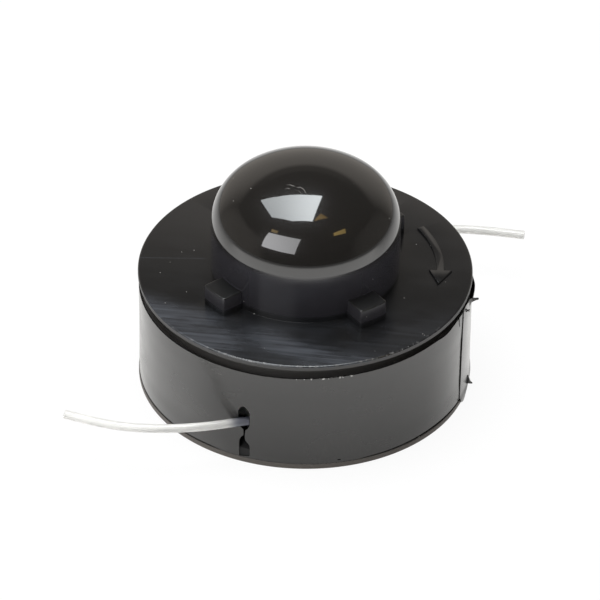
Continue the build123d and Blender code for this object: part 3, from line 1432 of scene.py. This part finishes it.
        def slacken(place: Vector) -> Vector:
            """Puts a vertex of the plain ring on the slack film.

            Args:
                place: Place on the plain ring, in metres.

            Returns:
                Place on the film, in metres.
            """
            bearing = math.degrees(math.atan2(place.x, -place.y))
            share = (place.z / MM - self.bottom) / span
            low, high = self.bottom_edge(bearing), self.top_edge(bearing)
            height = low + (high - low) * share
            sunk = self.sag(bearing, height)
            return on_bearing(self.inner_radius + self.film - sunk, bearing, height)

        place_vertices(ring, slacken)
        apply_modifier(ring, "SOLIDIFY", thickness=self.film * MM, offset=-1.0)
        return ring

    def lap(self) -> Piece:
        """Models the loose end that laps over the film's start, flared at its torn top.

        Returns:
            The lap as a mesh object.
        """
        add = bpy.ops.mesh.primitive_grid_add
        lap = primitive("lap", add, x_subdivisions=self.lap_steps, y_subdivisions=self.rows, size=1)
        outside = self.inner_radius + self.film + self.lap_thickness + self.lap_gap

        def wrap(place: Vector) -> Vector:
            """Puts a vertex of the flat grid on the lap.

            Args:
                place: Place on the grid of size 1.

            Returns:
                Place on the lap, in metres.
            """
            along, up = place.x + 0.5, place.y + 0.5
            torn = 0.0
            for size, waves, seed in self.lap_tears:
                torn += size * noise.noise(Vector((self.lap_tear_row, up * waves, seed)))
            start = self.lap_start - self.lap_slant * (1 - up) + torn
            bearing = start + (self.lap_end - start) * along**self.lap_crowding
            low = self.bottom_edge(bearing) + swell(bearing, *self.lap_tongue)
            high = self.top_edge(bearing) + self.lap_peak * smooth_step(*self.lap_peak_side, bearing)
            high += ripple(bearing, *self.lap_nicks) * smooth_step(*self.lap_nicks_end, bearing)
            height = low + (high - low) * up
            spread = smooth_step(*self.flare_start, bearing) * smooth_step(*self.flare_end, bearing)
            flare = self.flare * spread * smooth_step(*self.flare_height, height) ** self.flare_power
            lip_rise = self.lower_lip + self.lap_over_lip_rise
            over_lip = self.lap_over_lip * smooth_step(lip_rise, self.lower_lip, height)
            tuck = self.lap_tuck * smooth_step(self.lap_tuck_from, 1.0, along)
            return on_bearing(outside + flare + over_lip - tuck, bearing, height)

        place_vertices(lap, wrap)
        apply_modifier(lap, "SOLIDIFY", thickness=self.lap_thickness * MM, offset=-1.0)
        close_up(lap)
        return lap

    def keyhole(self, foot: float) -> list[Point]:
        """Gives the outline of a torn keyhole slot.

        Args:
            foot: Height of the slot's foot.

        Returns:
            Corners as distance to the right of the slot's middle and height.
        """
        lowest = [(x, foot + rise) for x, rise in self.slot_foot]
        return [*lowest, *self.slot_right, *self.slot_upper_right, *self.slot_upper_left, *self.slot_left]

    def cutter(self, bearing: float, outline: Sequence[Point]) -> Piece:
        """Models the cutter of one torn opening.

        Args:
            bearing: Bearing of the opening's middle.
            outline: Corners as distance to the right of the middle and height.

        Returns:
            The cutter as a mesh object.
        """
        out = on_bearing(1.0, bearing, 0).normalized()
        across = Vector((-out.y, out.x, 0))
        start = out * (self.inner_radius - self.slot_depth) * MM
        corners = [start + across * x * MM + Vector((0, 0, z * MM)) for x, z in outline]
        return prism("cutter", corners, out * 2 * self.slot_depth * MM, self.slot_rounding)

    def scrap(self, bearing: float, outline: Sequence[Point], thickness: float) -> Piece:
        """Models one torn scrap of film that stands out from the band.

        Args:
            bearing: Bearing that the scrap stands on.
            outline: Radius and height of each corner.
            thickness: Thickness of the scrap.

        Returns:
            The scrap as a mesh object.
        """
        corners = [on_bearing(radius, bearing, height) for radius, height in outline]
        return prism("scrap", corners, on_bearing(thickness, bearing + 90, 0), self.scrap_rounding)

    def burrs(self) -> list[Piece]:
        """Models the torn scraps and the string at the lap.

        Returns:
            The burrs as mesh objects.
        """
        points = [on_bearing(*point) for point in self.thread]
        string = as_mesh(nurbs("thread", points, self.thread_radii, self.thread_runs))
        hook = self.scrap(self.hook_bearing, self.hook_under + self.hook_over, self.hook_thickness)
        tab = self.scrap(self.tab_bearing, self.tab_under + self.tab_over, self.tab_thickness)
        return [hook, tab, string]

    def build(self, material: Material, routes: Sequence[Sequence[Triple]]) -> Piece:
        """Models and dresses the band.

        Args:
            material: The film.
            routes: Routes of the two lines that come out of it, in millimetres.

        Returns:
            The finished piece.
        """
        band = self.ring()
        radius = CuttingLine.diameter / 2 + self.line_clearance
        for turn, foot, route in zip((0, 180), self.slot_feet, routes):
            work_in(band, self.cutter(self.slot_bearing + turn, self.keyhole(foot)), Operation.CUT)
            points = [Vector(point) * MM for point in route]
            bore = as_mesh(nurbs("bore", points, [radius] * len(route), self.bore_runs))
            work_in(band, bore, Operation.CUT)
        work_in(band, self.cutter(self.tear_bearing, self.tear), Operation.CUT)
        work_in(band, self.cutter(self.nick_bearing, self.nick), Operation.CUT)
        join(band, [self.lap(), *self.burrs()])
        activate(band)
        bpy.ops.object.shade_smooth_by_angle(angle=math.radians(self.smooth_angle))
        band.data.materials.append(material)
        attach(band, BODY)
        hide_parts("retaining_band")
        return band


@dataclass(frozen=True)
class Softbox:
    """One rectangular studio lamp, aimed at the spool, that only lights and isn't mirrored."""

    name: str
    centre: Triple
    across: Triple
    width: float
    height: float
    radiance: float

    def build(self) -> Piece:
        """Sets up the lamp.

        Returns:
            The lamp object.
        """
        lamp = bpy.data.lights.new(self.name, "AREA")
        lamp.shape = "RECTANGLE"
        lamp.size, lamp.size_y = self.width, self.height
        lamp.energy = self.radiance * math.pi * self.width * self.height
        back = Vector(self.centre).normalized()
        up = back.cross(Vector(self.across)).normalized()
        obj = in_scene(self.name, lamp)
        obj.matrix_world = aimed(Vector(self.centre), up.cross(back), up, back)
        obj.visible_camera = False
        obj.visible_glossy = False
        return obj


@dataclass(frozen=True)
class Card:
    """A lit card that the gloss mirrors, given by its corners and its radiance at the left and right.

    What two mirrors in a row show of it is made weaker, a painted dimming of the second reflection.
    """

    name: str
    corners: tuple[Triple, ...]
    colour: Triple
    radiance: Point
    mirrored_again: Range = ((1.2, 1), (1.8, 0.35))

    def build(self) -> Piece:
        """Sets up the card.

        Returns:
            The card.
        """
        card = polygon(self.name, self.corners)
        material = bpy.data.materials.new(self.name)
        material.use_nodes = True
        sheet = NodeSheet(material.node_tree)
        sheet.tree.nodes.remove(sheet.tree.nodes["Principled BSDF"])
        x = sheet.axes(sheet.place())[0]
        left, right = min(c[0] for c in self.corners), max(c[0] for c in self.corners)
        strength = sheet.ramp(x, (left, self.radiance[0]), (right, self.radiance[1]))
        kept = sheet.ramp(sheet.ray(Ray.MIRRORS), *self.mirrored_again)
        glow = sheet.add("ShaderNodeEmission")
        glow.inputs["Color"].default_value = (*self.colour, 1)
        sheet.link(sheet.product(strength, kept), glow.inputs["Strength"])
        sheet.link(glow.outputs[0], sheet.tree.nodes["Material Output"].inputs["Surface"])
        card.data.materials.append(material)
        card.visible_camera = False
        card.visible_diffuse = False
        card.visible_transmission = False
        card.visible_shadow = False
        return card


@dataclass
class Studio:
    """The white table, the dark room with its white back wall, the lamps and the camera."""

    table_radius: float = 0.25
    table_rim: float = 0.075
    table_steps: int = 128
    table_white: float = 0.85
    table_tint: Triple = (1.0, 0.99, 0.97)
    table_drop: float = 0.00002
    eye_white: float = 1.02
    shadow_kept: float = 0.1
    mirrored_share: float = 0.8
    foot_shaded_glow: Range = ((-0.031, 0.81), (-0.010, 1.52))
    open_glow: float = 1.61
    open_reach: Range = ((0.027, 0), (0.062, 1))
    glow_slant: float = -0.3
    front_fade: Range = ((0.125, 1), (0.19, 0.08))
    back_fade: Range = ((0.036, 1), (0.060, 0.62))
    far_fade: Range = ((0.060, 1), (0.25, 0.1))
    behind: Range = ((-0.03, 0), (0.01, 1))
    room_light: float = 0.46
    room_dark: float = 0.076
    room_tint: Triple = (1.0, 0.93, 0.85)
    wall_light: float = 0.46
    wall_depth: Range = ((0.3, 0), (0.85, 1))
    wall_height: Range = ((0.45, 1), (0.62, 0))
    upper_light: float = 0.145
    upper_height: Range = ((0.62, 1), (0.74, 0))
    left_light: float = 0.26
    left_reach: Range = ((-0.95, 1), (-0.6, 0))
    right_light: float = 0.17
    right_reach: Range = ((0.65, 0), (0.95, 1))
    camera_elevation: float = 36.62
    camera_roll: float = 0.73
    camera_distance: float = 0.9427
    camera_lens: float = 327.94
    camera_sensor: float = 36.0
    camera_clip: Point = (0.01, 10.0)
    aim_rise: float = 0.01185
    aim_left: float = 0.00069

    def table_light(self, sheet: NodeSheet) -> Socket:
        """Makes the light of the table as the gloss mirrors it, weaker just in front of the spool's foot as
        painted shade.

        Args:
            sheet: Node sheet of the table's material.

        Returns:
            Socket of the light's strength.
        """
        place = sheet.place()
        x, y, _ = sheet.axes(place)
        away = sheet.vector("LENGTH", place).outputs["Value"]
        slant = sheet.math("MULTIPLY_ADD", x, self.glow_slant, y)
        # Painted shade: the mirrored glow falls off towards the spool's foot, in place of its contact shadow
        foot = sheet.ramp(slant, *self.foot_shaded_glow)
        near = sheet.mix(sheet.ramp(away, *self.open_reach), foot, self.open_glow)
        ahead = sheet.ramp(away, *self.front_fade)
        back = sheet.product(sheet.ramp(away, *self.back_fade), sheet.ramp(away, *self.far_fade))
        return sheet.product(near, sheet.mix(sheet.ramp(y, *self.behind), ahead, back))

    def table(self) -> Piece:
        """Makes the round white table top.

        Returns:
            The table.
        """
        add = bpy.ops.mesh.primitive_circle_add
        sizes = {"vertices": self.table_steps, "radius": self.table_radius}
        table = primitive("table", add, fill_type="NGON", **sizes)
        table.location.z = -self.table_drop
        settle(table)
        with editing(table):
            bpy.ops.mesh.inset(thickness=self.table_rim)
        material, sheet, shader = new_material("table_white")
        shader.inputs["Base Color"].default_value = (self.table_white,) * 3 + (1,)
        shader.inputs["Roughness"].default_value = 1.0
        shader.inputs["Specular IOR Level"].default_value = 0.0
        seen = sheet.ray(Ray.CAMERA)
        glow = sheet.add("ShaderNodeEmission")
        sheet.link(sheet.tint(seen, self.table_tint, (1, 1, 1)), glow.inputs["Color"])
        sheet.link(sheet.mix(seen, self.table_light(sheet), self.eye_white), glow.inputs["Strength"])
        mirrored = sheet.product(sheet.ray(Ray.GLOSSY), self.mirrored_share)
        share = sheet.math("MAXIMUM", sheet.product(seen, 1 - self.shadow_kept), mirrored)
        mixed = sheet.add("ShaderNodeMixShader")
        sheet.link(share, mixed.inputs["Fac"])
        sheet.link(shader.outputs[0], mixed.inputs[1])
        sheet.link(glow.outputs[0], mixed.inputs[2])
        sheet.link(mixed.outputs[0], material.node_tree.nodes["Material Output"].inputs["Surface"])
        table.data.materials.append(material)
        return table

    def room(self) -> None:
        """Sets the world: white to the eye, and a dark room with a white back wall to gloss."""
        world = bpy.data.worlds.new("room")
        bpy.context.scene.world = world
        world.use_nodes = True
        sheet = NodeSheet(world.node_tree)
        ground = world.node_tree.nodes["Background"]
        x, y, z = sheet.axes(sheet.add("ShaderNodeTexCoord").outputs["Generated"])
        low = sheet.ramp(z, *self.wall_height)
        high = sheet.product(sheet.ramp(z, *self.upper_height), self.upper_light)
        tall = sheet.math("MAXIMUM", sheet.product(low, self.wall_light), high)
        back = sheet.product(sheet.ramp(y, *self.wall_depth), tall)
        left = sheet.product(sheet.ramp(x, *self.left_reach), self.left_light)
        right = sheet.product(sheet.ramp(x, *self.right_reach), self.right_light)
        walls = sheet.math("MAXIMUM", back, sheet.product(low, sheet.math("MAXIMUM", left, right)))
        shine = sheet.math("MAXIMUM", walls, self.room_dark)
        mirrored = sheet.ray(Ray.GLOSSY)
        light = sheet.mix(mirrored, self.room_light, shine)
        white = sheet.math("MAXIMUM", sheet.ray(Ray.CAMERA), sheet.ray(Ray.TRANSMISSION))
        sheet.link(sheet.mix(white, light, self.eye_white), ground.inputs["Strength"])
        sheet.link(sheet.tint(mirrored, (1, 1, 1), self.room_tint), ground.inputs["Color"])

    def camera(self) -> Piece:
        """Sets the camera at the viewing angle.

        Returns:
            The camera object.
        """
        rise, roll = math.radians(self.camera_elevation), math.radians(self.camera_roll)
        back = Vector((0, -math.cos(rise), math.sin(rise)))
        right = Vector((1, 0, 0))
        up = back.cross(right)
        rolled_right = right * math.cos(roll) + up * math.sin(roll)
        rolled_up = up * math.cos(roll) - right * math.sin(roll)
        place = back * self.camera_distance
        aim = rolled_up * self.aim_rise - rolled_right * self.aim_left
        away = (place - aim).normalized()
        side = (rolled_right - away * rolled_right.dot(away)).normalized()
        data = bpy.data.cameras.new("camera")
        data.lens = self.camera_lens
        data.sensor_width = self.camera_sensor
        data.clip_start, data.clip_end = self.camera_clip
        camera = in_scene("camera", data)
        camera.matrix_world = aimed(place, side, away.cross(side), away)
        bpy.context.scene.camera = camera
        return camera

    def build(self) -> None:
        """Sets up the whole stage."""
        self.table()
        self.room()
        for part in (*LAMPS, *CARDS):
            part.build()
        self.camera()
        bpy.context.scene.view_settings.view_transform = "Standard"


LAMPS = [
    Softbox("overhead", (-0.12, 0.06, 0.62), (0.98, -0.18, 0.0), 0.50, 0.36, 6.0),
    Softbox("front_left", (-0.386, -0.511, 0.482), (0.889, -0.212, 0.405), 0.50, 0.50, 0.8),
]
CARDS = [
    Card(
        "card_overhead",
        (
            (-0.354, 0.219, 0.502),
            (-0.228, 0.199, 0.581),
            (-0.092, 0.190, 0.622),
            (0.023, 0.184, 0.631),
            (0.134, 0.187, 0.615),
            (0.063, -0.120, 0.646),
            (-0.130, -0.112, 0.639),
            (-0.303, -0.020, 0.583),
        ),
        (0.93, 0.98, 1.0),
        (4.5, 9.0),
    ),
    Card(
        "card_front",
        ((-0.485, -0.291, 0.614), (-0.067, -0.516, 0.656), (-0.173, -0.760, 0.273), (-0.631, -0.462, 0.257)),
        (0.98, 0.98, 1.0),
        (4.7, 3.3),
    ),
    Card(
        "card_warm_top",
        ((0.086, -0.127, 0.724), (0.116, -0.073, 0.727), (0.154, -0.022, 0.723), (0.228, -0.061, 0.700)),
        (1.0, 0.66, 0.24),
        (1.6, 1.2),
    ),
    Card(
        "card_warm_side",
        ((0.339, -0.335, 0.561), (0.320, -0.274, 0.605), (0.424, -0.149, 0.583), (0.463, -0.234, 0.519)),
        (1.0, 0.70, 0.24),
        (2.4, 1.8),
    ),
    Card(
        "card_warm_front",
        ((-0.397, -0.242, 0.570), (-0.371, -0.192, 0.607), (-0.307, -0.246, 0.624), (-0.337, -0.298, 0.584)),
        (1.0, 0.72, 0.34),
        (1.9, 1.4),
    ),
]

FRONT_ROUTE = [
    (7.8, -21.6, 8.2),
    (-0.5, -24.3, 8.2),
    (-9.0, -25.75, 8.2),
    (-17.4, -27.95, 8.2),
    (-25.8, -28.55, 8.2),
    (-33.4, -27.45, 8.2),
    (-40.0, -24.7, 8.2),
]
REAR_ROUTE = [
    (-7.8, 21.6, 8.2),
    (0.5, 24.3, 8.2),
    (9.0, 25.85, 8.2),
    (17.4, 29.3, 8.2),
    (25.2, 30.9, 8.2),
    (32.2, 30.4, 8.2),
    (38.4, 29.2, 8.2),
]


def main() -> None:
    """Builds the stage and every piece."""
    logging.basicConfig(level=logging.INFO, format="%(name)s: %(message)s")
    Studio().build()
    nylon = ClearNylon().build()
    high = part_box("spool")[1] / MM
    pieces = [
        CuttingLine("line_front", FRONT_ROUTE, ("line_winding", "line_tail_front")).build(nylon),
        CuttingLine("line_rear", REAR_ROUTE, ("line_tail_rear",)).build(nylon),
        FilmBand().build(BlackFilm().build(), (FRONT_ROUTE, REAR_ROUTE)),
        SpoolMoulding(flange_radius=high.x, button_top=high.z).build(MouldedBlack().build()),
    ]
    for piece in pieces:
        LOG.info("%s: %s faces", piece.name, len(getattr(piece.data, "polygons", [])))


if __name__ == "__main__":
    main()
